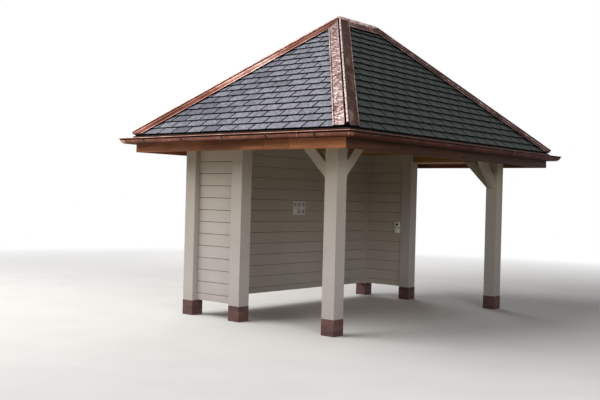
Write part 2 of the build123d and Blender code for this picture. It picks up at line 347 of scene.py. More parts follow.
def cedar(name, grain_along, dark, middle, light, gloss):
    """Stained cedar: grain along one axis, growth bands, a few knots and a tone for each board; tones below
    zero are painted shade.
    """
    g = Graph(name)
    bands = g.noise(1.1, 5.0, roughness=0.62, distortion=0.6, place=g.with_grain(grain_along, 0.55, 16.0))
    fibres = g.noise(1.3, place=g.with_grain(grain_along, 2.75, 80.0))
    clouds = g.noise(1.3, detail=2.0)
    body = g.ramp(bands, [(0.28, dark), (0.50, middle), (0.72, light)])
    body = g.mix(g.map(g.tone(), 0.0, 1.0, 0.0, 0.85), body, light)
    # Tones below zero darken a board: the front fascia's painted shade
    body = g.mix(g.map(g.tone(), -1.0, 0.0, 0.9, 0.0), body, dark)
    body = g.mix(g.map(clouds, 0.40, 0.70, 0.0, 0.45), body, dark)
    body = g.mix(g.map(fibres, 0.45, 0.75, 0.0, 0.35), body, dark)
    knots = g.cells(g.with_grain(grain_along, 2.2, 7.0), 0.9)
    body = g.mix(g.map(knots, 0.05, 0.13, 0.9, 0.0), body, (62, 28, 16))
    rough = g.map(fibres, 0.3, 0.7, gloss, gloss + 0.16)
    return g.surface(body, rough, g.relief((fibres, 0.0010, 0.5), (bands, 0.0015, 0.35)), 0.08)


def slate(name, stops, scuffs, clefts_and_shade_colour, gloss):
    """Riven slate: a tone for each piece, clefts in the surface, pale scuffs, edges painted dark as shade,
    and painted shade on pieces whose tone is below zero.
    """
    g = Graph(name)
    tone = g.tone()
    grain = g.noise(26.0, detail=8.0, roughness=0.7, distortion=0.3)
    clefts = g.noise(7.0, detail=5.0, roughness=0.5, distortion=1.2)
    body = g.ramp(tone, stops)
    body = g.mix(g.map(grain, 0.47, 0.60, 0.0, 0.8), body, scuffs)
    body = g.mix(g.map(grain, 0.38, 0.47, 0.6, 0.0), body, clefts_and_shade_colour)
    body = g.mix(g.map(clefts, 0.35, 0.60, 0.30, 0.0), body, clefts_and_shade_colour)
    # Tones below zero: painted shade, darkening slates towards the back of the left slope
    body = g.mix(g.map(tone, SLATE_DEEPEST_SHADE, 0.0, 0.6, 0.0), body, clefts_and_shade_colour)
    # Painted shade on the slates' edges and eased rims, which carry the shade tone
    body = g.edge_shade(body, (15, 15, 18))
    rough = g.map(grain, 0.3, 0.7, 0.46, 0.66)
    return g.surface(body, rough, g.relief((clefts, 0.006, 0.5), (grain, 0.002, 0.5)), gloss)


def copper(name, stops, metallic, tint, crinkle_and_highlight_share, swirl, rough_low, rough_high):
    """Sheet copper, by tone from pale to brown: stains, a crinkled hand-dressed surface with blotches of
    painted highlight and painted shade along its crinkle, painted shade on faces with the shade tone, and
    fine grain.
    """
    g = Graph(name)
    stains = g.noise(3.2, detail=5.0, roughness=0.6, distortion=0.8)
    crinkle = g.noise(13.0, detail=2.0, roughness=0.45, distortion=swirl)
    fine = g.noise(90.0, detail=3.0)
    brownness = g.math("ADD", g.tone(), g.map(stains, 0.3, 0.7, -0.14, 0.14))
    body = g.ramp(brownness, stops)
    # Painted highlights where the crinkle noise is high, fewer on browner metal, and painted shade where it
    # is low
    fresh = g.map(brownness, 0.3, 0.8, 1.0, 0.0)
    painted_highlight = g.math("MULTIPLY", g.map(crinkle, 0.50, 0.68, 0.0, crinkle_and_highlight_share), fresh)
    body = g.mix(painted_highlight, body, (252, 236, 231))
    body = g.mix(g.map(crinkle, 0.30, 0.48, crinkle_and_highlight_share, 0.0), body, stops[-1][1])
    # Painted shade on faces with the shade tone: under hems, at seams' feet and under gutters' beads
    body = g.edge_shade(body, (22, 15, 14))
    rough = g.map(stains, 0.3, 0.7, rough_low, rough_high)
    normal = g.relief((crinkle, 0.020 * crinkle_and_highlight_share, 1.0), (fine, 0.0006, 0.35))
    return g.surface(body, rough, normal, 0.2, metallic, tint)


def brick():
    """Red-brown brick with a tone for each brick, pits and sandy grain."""
    g = Graph("brick")
    grain = g.noise(60.0, detail=6.0, roughness=0.7)
    clouds = g.noise(14.0, detail=3.0)
    pits = g.cells(g.place(), 130.0)
    body = g.ramp(g.tone(), [(0.0, (76, 50, 48)), (0.5, (94, 64, 61)),
                             (1.0, (108, 75, 70))])
    body = g.mix(g.map(clouds, 0.4, 0.7, 0.0, 0.5), body, (70, 51, 51))
    body = g.mix(g.map(grain, 0.5, 0.8, 0.0, 0.5), body, (126, 98, 93))
    normal = g.relief((grain, 0.002, 0.7), (g.map(pits, 0.0, 0.25), 0.001, 0.5))
    return g.surface(body, g.map(grain, 0.3, 0.7, 0.75, 0.92), normal)


def mortar():
    """Weathered mortar, stained by the bricks."""
    g = Graph("mortar")
    grain = g.noise(140.0, detail=5.0)
    clouds = g.noise(11.0, detail=3.0)
    body = g.ramp(clouds, [(0.35, (86, 70, 67)), (0.7, (106, 88, 82))])
    body = g.mix(g.map(grain, 0.4, 0.7, 0.0, 0.4), body, (74, 60, 58))
    return g.surface(body, g.map(grain, 0.3, 0.7, 0.85, 0.97), g.relief((grain, 0.002, 0.6)))


def deck_in_painted_shade():
    """Bare boarding under the slates, coloured near black as painted shade where it shows between them."""
    g = Graph("deck_in_painted_shade")
    grain = g.noise(3.0, detail=5.0, place=g.place((3, 3, 30)))
    body = g.ramp(grain, [(0.3, (26, 24, 24)), (0.7, (42, 38, 36))])
    return g.surface(body, g.map(grain, 0.3, 0.7, 0.8, 0.95), g.relief((grain, 0.002, 0.5)), 0.2)


def plain(name, colour, shade, gloss=0.5, metallic=0.0):
    """Moulded plastic, paper or dull metal with faint dust."""
    g = Graph(name)
    dust = g.noise(45.0, detail=5.0)
    body = g.mix(g.map(dust, 0.4, 0.7, 0.0, 0.35), colour, shade)
    rough = g.map(dust, 0.3, 0.7, 0.40, 0.60)
    return g.surface(body, rough, g.relief((dust, 0.0004, 0.4)), gloss, metallic)


# Each paint: two colours of its clouds, the colour of its painted shade under the eaves, and the heights
# where that shade starts and reaches its most
OUTER_PAINT = ((182, 175, 170), (190, 184, 180), (172, 161, 141), 0.9, 2.4)
# The inner walls' paint, a yellower copy of the outer one whose shade starts lower: painted shade inside the
# shelter
INNER_SHADED_PAINT = ((182, 175, 165), (190, 184, 174), (171, 161, 138), 0.8, 2.1)
PAINT_UP = painted("paint_upright", "Z", *OUTER_PAINT)
PAINT_X = painted("paint_along_x", "X", *OUTER_PAINT)
PAINT_Y = painted("paint_along_y", "Y", *OUTER_PAINT)
INNER_SHADED_PAINT_X = painted("inner_shaded_paint_along_x", "X", *INNER_SHADED_PAINT)
INNER_SHADED_PAINT_Y = painted("inner_shaded_paint_along_y", "Y", *INNER_SHADED_PAINT)
FASCIA_COLOURS = ((52, 28, 17), (98, 60, 42), (192, 124, 86))
FASCIA_X = cedar("fascia_along_x", "X", *FASCIA_COLOURS, 0.46)
FASCIA_Y = cedar("fascia_along_y", "Y", *FASCIA_COLOURS, 0.46)
CEILING_COLOURS = ((120, 86, 50), (154, 117, 70), (182, 144, 94))
CEILING_X = cedar("ceiling_along_x", "X", *CEILING_COLOURS, 0.5)
CEILING_Y = cedar("ceiling_along_y", "Y", *CEILING_COLOURS, 0.5)
SLATE = slate("slate", [(0.0, (112, 114, 123)), (0.40, (130, 131, 142)),
                        (0.70, (134, 132, 145)), (1.0, (144, 145, 156))],
              (168, 169, 180), (78, 80, 90), 0.06)
# A darker, greener copy of the slate for the front slope: painted shade
SHADED_SLATE = slate("shaded_slate", [(0.0, (39, 45, 43)), (0.5, (47, 54, 52)),
                                    (1.0, (58, 66, 62))], (66, 75, 70), (32, 38, 34), 0.05)
CRINKLED_COPPER = copper("crinkled_copper", [(0.0, (236, 218, 216)), (0.32, (174, 150, 148)),
                                             (0.62, (138, 109, 104)), (0.9, (70, 56, 52))],
                         1.0, (0.50, 0.44, 0.43, 1.0), 0.80, 1.6, 0.28, 0.42)
SMOOTH_COPPER = copper("smooth_copper", [(0.0, (246, 220, 212)), (0.32, (190, 146, 134)),
                                         (0.62, (142, 92, 78)), (0.9, (74, 54, 48))],
                       1.0, (0.50, 0.42, 0.40, 1.0), 0.22, 0.5, 0.28, 0.42)
GUTTER_COPPER = copper("gutter_copper", [(0.0, (218, 176, 158)), (0.2, (172, 118, 98)),
                                         (0.45, (132, 86, 70)), (0.9, (76, 41, 30))],
                       0.5, (0.40, 0.26, 0.22, 1.0), 0.10, 0.4, 0.36, 0.52)
# The drip edge's dark colour is painted shade under the slates' edge
SHADED_DRIP_METAL = plain("shaded_drip_metal", (62, 43, 37), (48, 33, 28), gloss=0.1)
# The copper strap hangers, coloured near black: painted shadow
SHADED_HANGER_METAL = plain("shaded_hanger_metal", (30, 18, 15), (48, 30, 25), metallic=0.4)
BRICK = brick()
MORTAR_LOOK = mortar()
DECK_SHADE = deck_in_painted_shade()
NOTICE = plain("notice", (222, 222, 214), (200, 198, 190))
NOTICE_MARK = plain("notice_mark", (156, 144, 162), (172, 162, 174))
OUTLET = plain("outlet", (240, 238, 232), (214, 210, 202))
OUTLET_HOLE = plain("outlet_hole", (24, 22, 20), (38, 34, 32))


# Meshes


def added(name, data):
    """A new object in the scene."""
    made = bpy.data.objects.new(name, data)
    bpy.context.scene.collection.objects.link(made)
    return made


class Shape:
    """A mesh in the making, with a tone for each face."""

    def __init__(self):
        self.points = []
        self.faces = []
        self.tones = []
        self.smooth = []

    def add(self, points, faces, tones, smooth=False):
        """Points, faces and the faces' tones."""
        first = len(self.points)
        self.points += [tuple(p) for p in points]
        self.faces += [[first + corner for corner in face] for face in faces]
        self.tones += tones
        self.smooth += [smooth] * len(faces)

    def box(self, low, high, tone=0.5):
        """An upright box between two opposite corners."""
        xs, ys, zs = zip(low, high)
        points = [(x, y, z) for x in xs for y in ys for z in zs]
        faces = [(0, 1, 3, 2), (4, 5, 7, 6), (0, 1, 5, 4), (2, 3, 7, 6), (0, 2, 6, 4), (1, 3, 7, 5)]
        self.add(points, faces, [tone] * len(faces))

    def block(self, front, back, ease, tone=0.5, edge=None):
        """A solid between two polygons of as many corners, the front one with eased edges."""
        count = len(front)
        normal = sum((front[i].cross(front[(i + 1) % count]) for i in range(count)), Vector()).normalized()
        inset = []
        shoulder = []
        for i, corner in enumerate(front):
            before = (corner - front[i - 1]).normalized()
            after = (front[(i + 1) % count] - corner).normalized()
            inward = normal.cross(before) + normal.cross(after)
            inset.append(corner + inward * (ease / max(0.3, 0.5 * inward.length_squared)))
            depth = back[i] - corner
            shoulder.append(corner + depth * min(0.5, ease / depth.length))
        faces = [list(range(count))]
        for low in (count, 2 * count):
            faces += [[low + i, low + (i + 1) % count, low - count + (i + 1) % count, low - count + i]
                      for i in range(count)]
        faces.append([2 * count + i for i in reversed(range(count))])
        edge = tone if edge is None else edge
        self.add(inset + shoulder + list(back), faces, [tone] + [edge] * (2 * count + 1))

    def sweep(self, rings, tone_at=lambda step, i: 0.5, smooth=False):
        """A closed tube through rings of as many points, with its ends filled."""
        count = len(rings[0])
        points = [p for ring in rings for p in ring]
        faces = []
        tones = []
        for step in range(len(rings) - 1):
            for i in range(count):
                low, high = step * count, (step + 1) * count
                j = (i + 1) % count
                faces.append([low + i, low + j, high + j, high + i])
                tones.append(tone_at(step, i))
        faces.append(list(range(count)))
        faces.append([len(points) - count + i for i in reversed(range(count))])
        tones += [tone_at(0, 0), tone_at(len(rings) - 2, 0)]
        self.add(points, faces, tones, smooth)

    def build(self, name, material, slot, *nodes, bevel=0.0):
        """The finished piece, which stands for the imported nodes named."""
        mesh = bpy.data.meshes.new(name)
        mesh.from_pydata(self.points, [], self.faces)
        mesh.polygons.foreach_set("use_smooth", self.smooth)
        tone = mesh.attributes.new("tone", "FLOAT", "FACE")
        tone.data.foreach_set("value", self.tones)
        edit = bmesh.new()
        edit.from_mesh(mesh)
        bmesh.ops.recalc_face_normals(edit, faces=edit.faces)
        if bevel:
            bmesh.ops.bevel(edit, geom=edit.edges, offset=bevel, segments=1, affect="EDGES",
                            clamp_overlap=True)
        edit.to_mesh(mesh)
        edit.free()
        mesh.materials.append(material)
        piece = added(name, mesh)
        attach(piece, "root")
        if nodes:
            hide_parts(*nodes)


def turned(side, x, y, z):
    """A point given as on the front side, turned to another side of the plan."""
    return Matrix.Rotation(math.radians(SIDES[side]), 3, "Z") @ Vector((x, y, z))


def is_long(side):
    return side in ("front", "back")


def run_and_face(side):
    """Half the length of a side between the posts' outer faces, and its distance from the middle."""
    return (HALF_X, HALF_Y) if is_long(side) else (HALF_Y, HALF_X)


def circle(count, radius):
    """Points evenly round a circle, as pairs."""
    turns = [math.tau * k / count for k in range(count)]
    return [(radius * math.cos(turn), radius * math.sin(turn)) for turn in turns]


# Slates


def slope_frame(side):
    """The foot of a slope's middle, the ways along the eave, up the slope and out of it, and its length."""
    eave, top = (EAVE_Y, 0) if is_long(side) else (EAVE_X, HALF_RIDGE)
    foot = turned(side, 0, -eave, EAVE_Z)
    head = turned(side, 0, -top, RIDGE_Z)
    along = turned(side, 1, 0, 0)
    upward = (head - foot).normalized()
    return foot, along, upward, along.cross(upward), (head - foot).length


def slope_halves(side):
    """Half a slope's length at its eave and at its head."""
    return (EAVE_X, HALF_RIDGE) if is_long(side) else (EAVE_Y, 0.0)


def clipped(polygon, limit):
    """The part of a flat polygon where limit is above zero, with limit taken along straight edges."""
    kept = []
    for i, point in enumerate(polygon):
        before = polygon[i - 1]
        here, there = limit(point), limit(before)
        if (here > 0) != (there > 0):
            kept.append(before.lerp(point, there / (there - here)))
        if here > 0:
            kept.append(point)
    return kept


def lay_slates(side, rng):
    """One slope's slates, laid in half bond and cut along the hips under the copper."""
    foot, along, upward, outward, length = slope_frame(side)
    half_eave, half_top = slope_halves(side)
    narrowing = (half_eave - half_top) / length
    drop = SLATE_THICKNESS / SLATE_EXPOSURE
    edge = half_eave - SLATE_CUT
    left_shade = LEFT_SLOPE_SHADE if side == "left" else 0.0
    shape = Shape()
    for course in range(int(length / SLATE_EXPOSURE) + 1):
        tail = course * SLATE_EXPOSURE
        head = min(tail + SLATE_EXPOSURE + SLATE_HEADLAP, length - SHORTEST_SLATE)
        if head - tail < SHORTEST_SLATE:
            continue
        count = int((half_eave - tail * narrowing) / SLATE_WIDTH) + 3
        shift = (SLATE_START - SLATE_STEP * course) % SLATE_WIDTH + rng.uniform(-COURSE_DRIFT, COURSE_DRIFT)
        joints = [shift + k * SLATE_WIDTH + rng.uniform(-SLATE_DRIFT, SLATE_DRIFT)
                  for k in range(-count, count + 1)]
        for left, right in zip(joints, joints[1:]):
            low = left + SLATE_GAP / 2
            high = right - SLATE_GAP / 2
            ragged = [rng.uniform(-SLATE_RAGGED, SLATE_RAGGED) for _ in range(5)]
            lift = rng.uniform(0.0, SLATE_LIFT)
            tone = min(1.0, max(0.0, rng.gauss(SLATE_TONE, SLATE_SPREAD)))
            # On the left slope, painted shade darkens the slates towards the back
            far = min(1.0, max(0.0, (SHADE_START - (low + high) / 2 / half_eave) / SHADE_LENGTH))
            tone = max(SLATE_DEEPEST_SHADE, tone - left_shade * far)
            outline = [Vector((low + (high - low) * k / 4, tail + ragged[k], 0)) for k in range(5)]
            outline[0].y += rng.choice((0, 0, SLATE_CHIP))
            outline[4].y += rng.choice((0, 0, SLATE_CHIP))
            outline += [Vector((high, head, 0)), Vector((low, head, 0))]
            for hand in (-1, 1):
                outline = clipped(outline, lambda p, h=hand: edge - p.y * narrowing - h * p.x)
            if len(outline) < 3:
                continue
            front = []
            back = []
            for p in outline:
                height = lift + SLATE_PROUD - (p.y - tail) * drop
                spot = foot + along * p.x + upward * p.y
                front.append(spot + outward * height)
                back.append(spot + outward * (height - SLATE_THICKNESS))
            # The sides and eased rims carry the shade tone: painted shade
            shape.block(front, back, SLATE_EASE, tone, SHADE_TONE)
    return shape


def deck(side):
    """The boards that the slates lie on, as one solid down to the underside of the roof."""
    foot, along, upward, _, length = slope_frame(side)
    half_eave, half_top = slope_halves(side)
    sunk = Vector((0, 0, DECK_SUNK))
    drop = Vector((0, 0, EAVE_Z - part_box(f"roof_{side}")[0].z - DECK_SUNK))
    reach = half_eave - DECK_INSET
    corners = [(-reach, DECK_INSET), (reach, DECK_INSET), (half_top, length)]
    if half_top > 0:
        corners.append((-half_top, length))
    front = [foot + along * a + upward * b - sunk for a, b in corners]
    shape = Shape()
    shape.block(front, [p - drop for p in front], ease=0.001)
    return shape


for number, side in enumerate(SIDES):
    slates = lay_slates(side, random.Random(40 + number))
    # The front slope takes the darker copy: painted shade
    look = SHADED_SLATE if side == "front" else SLATE
    slates.build(f"slates_{side}", look, "slate", f"roof_{side}")
    deck(side).build(f"roof_deck_{side}", DECK_SHADE, "stained_wood", f"roof_{side}")


# Copper caps


def crinkle(across, along, seed):
    """The unevenness of hand-dressed sheet, in metres."""
    broad = noise.noise(Vector((across * 14, along * 5, seed)))
    fine = noise.noise(Vector((across * 30 + along * 9, along * 16, seed + 7.3)))
    return BROAD_CREASE * broad + FINE_CREASE * fine


def cap_ring(place_at, along, seed, fold, end_distance):
    """One ring of a cap's sheet: place_at gives the point for a distance across and a height.

    The fold is the share that the sheet turns up beside the seam, and the distance is to the cap's foot.
    """
    ring = []
    for index, (across, height) in enumerate(CAP_TOP + CAP_UNDER):
        on_top = index < len(CAP_TOP)
        if end_distance < CAP_CORNER and across > CAP_GROOVE[0]:
            across -= CAP_CORNER - math.sqrt(CAP_CORNER ** 2 - (CAP_CORNER - end_distance) ** 2)
        if CAP_FOLD[0] < across < CAP_FOLD[1] and height > CAP_LEVEL:
            height = CAP_LEVEL + (height - CAP_LEVEL) * fold
        if on_top and CAP_DRESSED[0] < across < CAP_DRESSED[1]:
            height += crinkle(across, along, seed)
        if end_distance < CAP_FOOT and on_top and across < CAP_RIM:
            height += CAP_FOOT_RISE
        if along < CAP_LAP:
            height -= CAP_LAP_STEP
        ring.append(place_at(across, height))
    return ring


def cap_stations(length):
    """Distances along a cap, close together at its foot."""
    count = int(length / CAP_STATION)
    return [0.0, 0.003, 0.007, CAP_FOOT] + [length * k / count for k in range(1, count + 1)]


def between(stops, share):
    """The value at a share of a length, between the stops given as (share, value)."""
    for (start, low), (stop, high) in zip(stops, stops[1:]):
        if share <= stop:
            return low + (high - low) * (share - start) / (stop - start)
    return stops[-1][1]


def cap_tone(base, seed, length=1.0, brownness=((0.0, 0.0),)):
    """Tones over a cap's sheet: a base, drifts of brighter and browner metal, a lengthwise change, painted
    highlights on its raised edges, and painted shade in its hollows and under its hem.
    """
    stations = CAP_TOP + CAP_UNDER

    def tone_at(step, i):
        across = stations[i][0]
        drift = noise.noise(Vector((across * 9, step * CAP_STATION * 2.6, seed)))
        # Painted shade under the hem and next to the seam's foot
        if len(CAP_TOP) - 4 < i < len(CAP_TOP) + 1 or across < 0.022:
            return SHADE_TONE
        # Painted highlight on the hem's rim and the fold by the seam; painted shade in the hollow inside the
        # rim
        rim_highlight = -0.30 if across > CAP_RIM or 0.0245 < across < 0.032 else 0.0
        groove_shade = 0.5 if CAP_GROOVE[0] < across < CAP_GROOVE[1] else 0.0
        lengthwise = between(brownness, step * CAP_STATION / length)
        return min(0.95, max(0.0, base + CAP_DRIFT * drift + rim_highlight + groove_shade + lengthwise))

    return tone_at


def seam_rings(points, along, out, seed):
    """Rings of the standing seam at points, with the section's own axes."""
    beside = along.cross(out)
    rings = []
    for number, point in enumerate(points):
        sway = SEAM_SWAY * noise.noise(Vector((number * 0.35, seed, 0)))
        rings.append([point + beside * (a + sway) + out * b for a, b in SEAM_SECTION])
    return rings


def hip_cap(place, hand_x, hand_y, seed):
    """One hip's cap: a flange on each of its slopes, and the seam along the hip."""
    tone_long, tone_end, tone_seam = CAP_TONES_AND_SHADE[place]
    brownness = CAP_LENGTHWISE_TONES.get(place, [(0.0, 0.0)])
    long_side, end_side = place.split("_")
    foot = Vector((hand_x * EAVE_X, hand_y * EAVE_Y, EAVE_Z))
    head = Vector((hand_x * HALF_RIDGE, 0, RIDGE_Z))
    along = (head - foot).normalized()
    length = (head - foot).length
    shape = Shape()
    normals = []
    for side, inward, base in ((long_side, Vector((-hand_x, 0, 0)), tone_long),
                               (end_side, Vector((0, -hand_y, 0)), tone_end)):
        normal = slope_frame(side)[3]
        normals.append(normal)
        spread = 1 / (inward - along * inward.dot(along)).length
        rings = []
        for distance in cap_stations(length):

            def place_at(across, height):
                reach = 1.0 if is_long(side) else 1 - across * spread / EAVE_Y
                return foot + along * (distance * reach) + inward * (across * spread) + normal * height

            fold = 1.0 - CAP_FOLD_LOSS * distance / length
            rings.append(cap_ring(place_at, distance, seed + 3.1 * is_long(side), fold, distance))
        shape.sweep(rings, cap_tone(base, seed + is_long(side), length, brownness), smooth=True)
    out = (normals[0] + normals[1]).normalized()
    out = (out - along * out.dot(along)).normalized()
    steps = int((length - SEAM_START) / SEAM_STATION)
    points = [foot + along * (SEAM_START + (length - SEAM_START) * k / steps) for k in range(steps + 1)]
    side_tones = [tone_end, tone_long]
    if along.cross(out).dot(Vector((hand_x, 0, 0))) > 0:
        side_tones.reverse()

    def seam_tone_at(step, i):
        # The lower faces of the seam's sides carry the shade tone: painted shade at its foot
        if i in (0, len(SEAM_SECTION) - 2):
            return SHADE_TONE
        return side_tones[0] if i < 3 else side_tones[1] if i > 7 else tone_seam

    shape.sweep(seam_rings(points, along, out, seed), seam_tone_at)
    return shape


def ridge_cap():
    """The ridge's cap, between the hips' flanges, with its own seam."""
    shape = Shape()
    slant = math.hypot(EAVE_Y, RIDGE_Z - EAVE_Z)
    flat_flange = CAP_FLANGE / math.sin(math.atan2(slant, EAVE_X - HALF_RIDGE))
    for side in ("front", "back"):
        foot, along, upward, normal, length = slope_frame(side)
        head = foot + upward * length
        level = math.hypot(upward.x, upward.y)
        steps = 40
        rings = []
        for k in range(steps + 1):
            share = 2 * k / steps - 1

            def place_at(across, height):
                reach = HALF_RIDGE - flat_flange + (EAVE_X - HALF_RIDGE) * across * level / EAVE_Y
                return head - upward * across + along * (share * reach) + normal * height

            rings.append(cap_ring(place_at, CAP_LAP + share, 31.0 + is_long(side), 0.4, 1.0))
        shape.sweep(rings, cap_tone(RIDGE_TONES_AND_SHADE[side], 33.0), smooth=True)
    points = [Vector((HALF_RIDGE * (k / 10 - 1), 0, RIDGE_Z)) for k in range(21)]
    seam = seam_rings(points, Vector((1, 0, 0)), Vector((0, 0, 1)), 35.0)
    shape.sweep(seam, lambda step, i: RIDGE_SEAM_TONE)
    return shape


for place in CAP_TONES_AND_SHADE:
    hand_x = -1 if "left" in place else 1
    hand_y = -1 if "front" in place else 1
    cap = hip_cap(place, hand_x, hand_y, 11.0 + 2 * hand_x + hand_y)
    look = CRINKLED_COPPER if hand_y < 0 else SMOOTH_COPPER
    cap.build(f"hip_cap_{place}_sheet", look, "copper", f"hip_cap_{place}")
ridge_cap().build("ridge_cap_sheet", CRINKLED_COPPER, "copper", "ridge_cap")


# Gutters


def arc(radius, start, stop, count, out=0.0, up=0.0):
    """Points of the gutter's section on an arc, as (offset, height): 0 degrees is at the back, 90 below."""
    turns = [math.radians(start + (stop - start) * k / count) for k in range(count + 1)]
    middle = GUTTER_MIDDLE + out
    level = GUTTER_LEVEL + up
    return [(middle - radius * math.cos(turn), level - radius * math.sin(turn)) for turn in turns]


def gutter(side, rng, base):
    """One side's gutter, mitred at the corners, slightly uneven, with a lapped and soldered joint."""
    run, face = run_and_face(side)
    bead = arc(BEAD_RADIUS, 40, 345, BEAD_STEPS, GUTTER_RADIUS + BEAD_OUT, BEAD_RISE)
    section = arc(GUTTER_RADIUS, 0, 176, TROUGH_STEPS) + bead
    section += arc(GUTTER_RADIUS - GUTTER_SHEET, 180, 0, TROUGH_STEPS)
    half = run + GUTTER_MIDDLE
    count = int(2 * half / GUTTER_STATION)
    stations = [2 * k / count - 1 for k in range(count + 1)]
    lap = GUTTER_LAP[side]
    laps = [lap - LAP_HALF, lap - LAP_EDGE, lap + LAP_EDGE, lap + LAP_HALF]
    stations = sorted([s for s in stations if abs(s - lap) > LAP_CLEAR] + laps + [-GUTTER_SEAM, GUTTER_SEAM])
    seed = rng.uniform(0, 50)
    rings = []
    for share in stations:
        swell = LAP_SWELL if abs(share - lap) < (LAP_EDGE + LAP_HALF) / 2 else 0.0
        sag = GUTTER_SAG * noise.noise(Vector((share * half * 1.3, seed, 0)))
        ring = []
        for offset, z in section:
            dent = GUTTER_DENT * noise.noise(Vector((share * half * 5, offset * 12, seed + z * 12)))
            out = offset + (swell + dent) * (1 if offset > GUTTER_MIDDLE else -0.3)
            ring.append(turned(side, share * (run + offset), -face - out, z + sag - swell))
        rings.append(ring)

    def tone_at(step, i):
        share = stations[step]
        drift = 0.16 * noise.noise(Vector((share * half * 2.2, i * 0.25, seed)))
        past = i - TROUGH_STEPS
        # Painted shade under the bead: these faces carry the shade tone
        if -1 <= past <= 4:
            return SHADE_TONE
        # Brighter at the lap and the mitre seams: solder, and along the mitres a painted highlight
        joint = -0.22 if abs(share - lap) < LAP_HALF else -0.42 if abs(share) > GUTTER_SEAM - 0.001 else 0.0
        # Painted highlight on the bead's top; the trough's inside darker
        face = 0.3 if past > BEAD_STEPS + 2 else -0.26 if 4 < past <= BEAD_STEPS + 1 else 0.0
        # Painted shade on the gutter's underside, darkest below
        below = 0.50 if past < -5 else 0.40 if past < -4 else 0.15 if past < -3 else 0.0
        return min(0.95, max(0.0, base + drift + joint + face + below))

    shape = Shape()
    shape.sweep(rings, tone_at, smooth=True)
    return shape


def hangers(side):
    """Strap hangers under one side's gutter, each with its plate and two screws on the fascia."""
    run, face = run_and_face(side)
    each_way = math.floor((run + FASCIA_OUT - HANGER_WIDTH) / HANGER_SPACING)
    shape = Shape()
    inner = GUTTER_RADIUS + STRAP_GAP
    strap = arc(inner, 2, 172, 16) + arc(inner + HANGER_SHEET, 172, 2, 16)
    board = -face - FASCIA_OUT
    for step in range(-each_way, each_way + 1):
        middle = step * HANGER_SPACING
        ends = [middle - HANGER_WIDTH / 2, middle + HANGER_WIDTH / 2]
        shape.sweep([[turned(side, x, -face - offset, z) for offset, z in strap] for x in ends])
        for reach, low, high in ((GUTTER_GAP, *HANGER_ARM), (HANGER_SHEET, HANGER_SHANK, 0.0)):
            shape.box(turned(side, ends[0], board - reach, GUTTER_LEVEL - low),
                      turned(side, ends[1], board, GUTTER_LEVEL - high))
        for drop in SCREW_DROPS:
            z = GUTTER_LEVEL - drop
            rings = []
            for depth, radius in SCREW_RINGS:
                y = board - HANGER_SHEET - depth
                rings.append([turned(side, middle + a, y, z + b) for a, b in circle(8, radius)])
            shape.sweep(rings)
    return shape


for number, side in enumerate(SIDES):
    trough = gutter(side, random.Random(90 + number), GUTTER_TONES_AND_SHADE[side])
    trough.build(f"gutter_sheet_{side}", GUTTER_COPPER, "copper", f"gutter_{side}")
    hangers(side).build(f"gutter_hangers_{side}", SHADED_HANGER_METAL, "copper", f"gutter_{side}")


# Walls


def board_lines(low, high, first):
    """Edges of the boards between two heights."""
    count = round((high - low) / BOARD_EXPOSURE) + 1
    lines = [first + k * BOARD_EXPOSURE for k in range(-count, count + 1)]
    return [low, *(z for z in lines if low + SHORTEST_BOARD < z < high - SHORTEST_BOARD), high]


def board_wall(node, axis, outside, rng):
    """A wall of level boards on both faces of a core, which shows in the gaps between them and carries the
    shade tone: painted shade. The inner boards run up to the ceiling.
    """
    low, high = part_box(node)
    thick = 1 - axis
    look, inner_look = ((PAINT_X, INNER_SHADED_PAINT_X), (PAINT_Y, INNER_SHADED_PAINT_Y))[axis]
    sides = (("boards", look, outside, BOARD_GAP, high.z, OUTER_LINE),
             ("inner_boards", inner_look, -outside, INNER_GAP, CEILING_Z, INNER_LINE))
    for name, material, face, gap, head, first in sides:
        boards = Shape()
        surface = high[thick] if face > 0 else low[thick]
        lines = board_lines(low.z, head, first)
        for number, (bottom, top) in enumerate(zip(lines, lines[1:])):
            near = [0, 0, bottom + (gap / 2 if number else 0)]
            far = [0, 0, top - (gap / 2 if number < len(lines) - 2 else 0)]
            near[axis], far[axis] = low[axis], high[axis]
            depth = surface - face * BOARD_THICKNESS
            near[thick], far[thick] = min(surface, depth), max(surface, depth)
            boards.box(near, far, rng.random())
        boards.build(f"{node}_{name}", material, "painted_wood", node, bevel=0.0016)
    # The core, seen in the gaps between boards, is painted dark as shade
    core = Shape()
    near, far = list(low), list(high)
    near[thick] += BOARD_SHADOW
    far[thick] -= BOARD_SHADOW
    core.box(near, far, SHADE_TONE)
    core.build(f"{node}_core", look, "painted_wood", node, bevel=0.001)


board_wall("back_wall", 0, 1, random.Random(51))
board_wall("left_wing_wall", 1, -1, random.Random(52))
board_wall("right_wing_wall", 1, 1, random.Random(53))

# The posts' heads, which run up to the ceiling beside the beams

BEAM_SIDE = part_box("beam_right")[0].x
BEAM_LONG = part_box("beam_back")[0].y
heads = Shape()
for name in NODES:
    if name.startswith("post_"):
        low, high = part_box(name)
        left, right = (HALF_X - POST, BEAM_SIDE) if low.x > 0 else (-BEAM_SIDE, POST - HALF_X)
        heads.box((left, max(low.y, -BEAM_LONG), BEAM_BOTTOM), (right, min(high.y, BEAM_LONG), CEILING_Z))
heads.build("post_heads", PAINT_UP, "painted_wood", bevel=0.0015)


# Plinths


